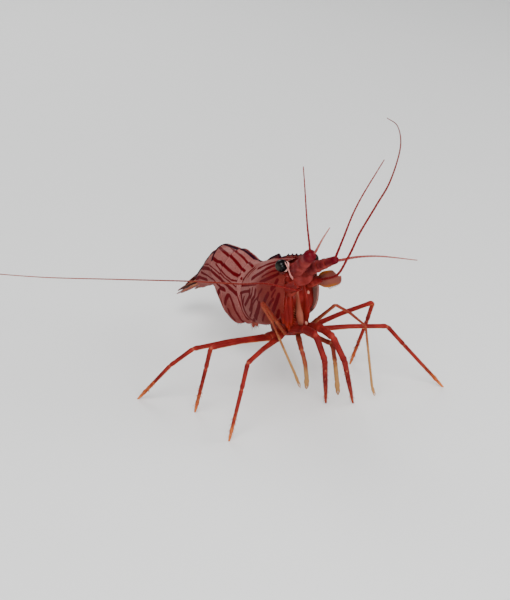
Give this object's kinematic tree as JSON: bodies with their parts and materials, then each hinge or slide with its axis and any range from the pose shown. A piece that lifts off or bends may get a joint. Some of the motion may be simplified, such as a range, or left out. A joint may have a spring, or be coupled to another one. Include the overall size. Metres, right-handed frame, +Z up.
{
  "type": "striped cleaner shrimp, still display model",
  "caption": "Life-size still model of a red-striped cleaner shrimp standing on its legs, tail half bent, long feelers spread.",
  "frame": {"origin": "on the floor under the middle of the model's outline", "axes": "+Z up, the animal's head faces -Y, its left side is +X"},
  "size_m": [0.0712, 0.052, 0.0389],
  "materials": {
    "striped_shell": "thin, slightly translucent chitin shell, pinkish brown with dark crimson stripes",
    "red_shell": "smooth deep red chitin of the face, mouthparts, feeler bases and breastplate",
    "leg_shell": "glossy red chitin with orange to yellow edges and tips",
    "claw_shell": "glassy orange chitin of the thin claw-bearing legs",
    "feeler": "ringed red whips, paler to the tips",
    "eye_cornea": "polished near-black eye with a grey-green rim"
  },
  "bodies": {
    "root": {"abdomen_1": "striped_shell", "abdomen_2": "striped_shell", "abdomen_3": "striped_shell", "abdomen_4": "striped_shell", "abdomen_5": "striped_shell", "abdomen_6": "striped_shell", "antenna_base_left": "red_shell", "antenna_base_right": "red_shell", "antenna_left_1": "feeler", "antenna_left_2": "feeler", "antenna_left_3": "feeler", "antenna_right_1": "feeler", "antenna_right_2": "feeler", "antenna_right_3": "feeler", "antenna_scale_left": "striped_shell", "antenna_scale_right": "striped_shell", "antennule_base_left": "red_shell", "antennule_base_right": "red_shell", "antennule_left_inner": "feeler", "antennule_left_outer": "feeler", "antennule_right_inner": "feeler", "antennule_right_outer": "feeler", "breastplate": "red_shell", "carapace": "striped_shell", "claw1_left_lower": "claw_shell", "claw1_left_upper": "claw_shell", "claw1_right_lower": "claw_shell", "claw1_right_upper": "claw_shell", "claw2_left_lower": "claw_shell", "claw2_left_upper": "claw_shell", "claw2_right_lower": "claw_shell", "claw2_right_upper": "claw_shell", "eye_left": "eye_cornea", "eye_right": "eye_cornea", "eyestalk_left": "red_shell", "eyestalk_right": "red_shell", "face": "red_shell", "leg3_left_lower": "leg_shell", "leg3_left_upper": "leg_shell", "leg3_right_lower": "leg_shell", "leg3_right_upper": "leg_shell", "leg4_left_lower": "leg_shell", "leg4_left_upper": "leg_shell", "leg4_right_lower": "leg_shell", "leg4_right_upper": "leg_shell", "leg5_left_lower": "leg_shell", "leg5_left_upper": "leg_shell", "leg5_right_lower": "leg_shell", "leg5_right_upper": "leg_shell", "mouth_leg_left_lower": "leg_shell", "mouth_leg_left_upper": "leg_shell", "mouth_leg_right_lower": "leg_shell", "mouth_leg_right_upper": "leg_shell", "mouthparts_left": "red_shell", "mouthparts_right": "red_shell", "telson": "striped_shell", "uropod_left_inner": "striped_shell", "uropod_left_outer": "striped_shell", "uropod_right_inner": "striped_shell", "uropod_right_outer": "striped_shell"}
  },
  "joints": []
}
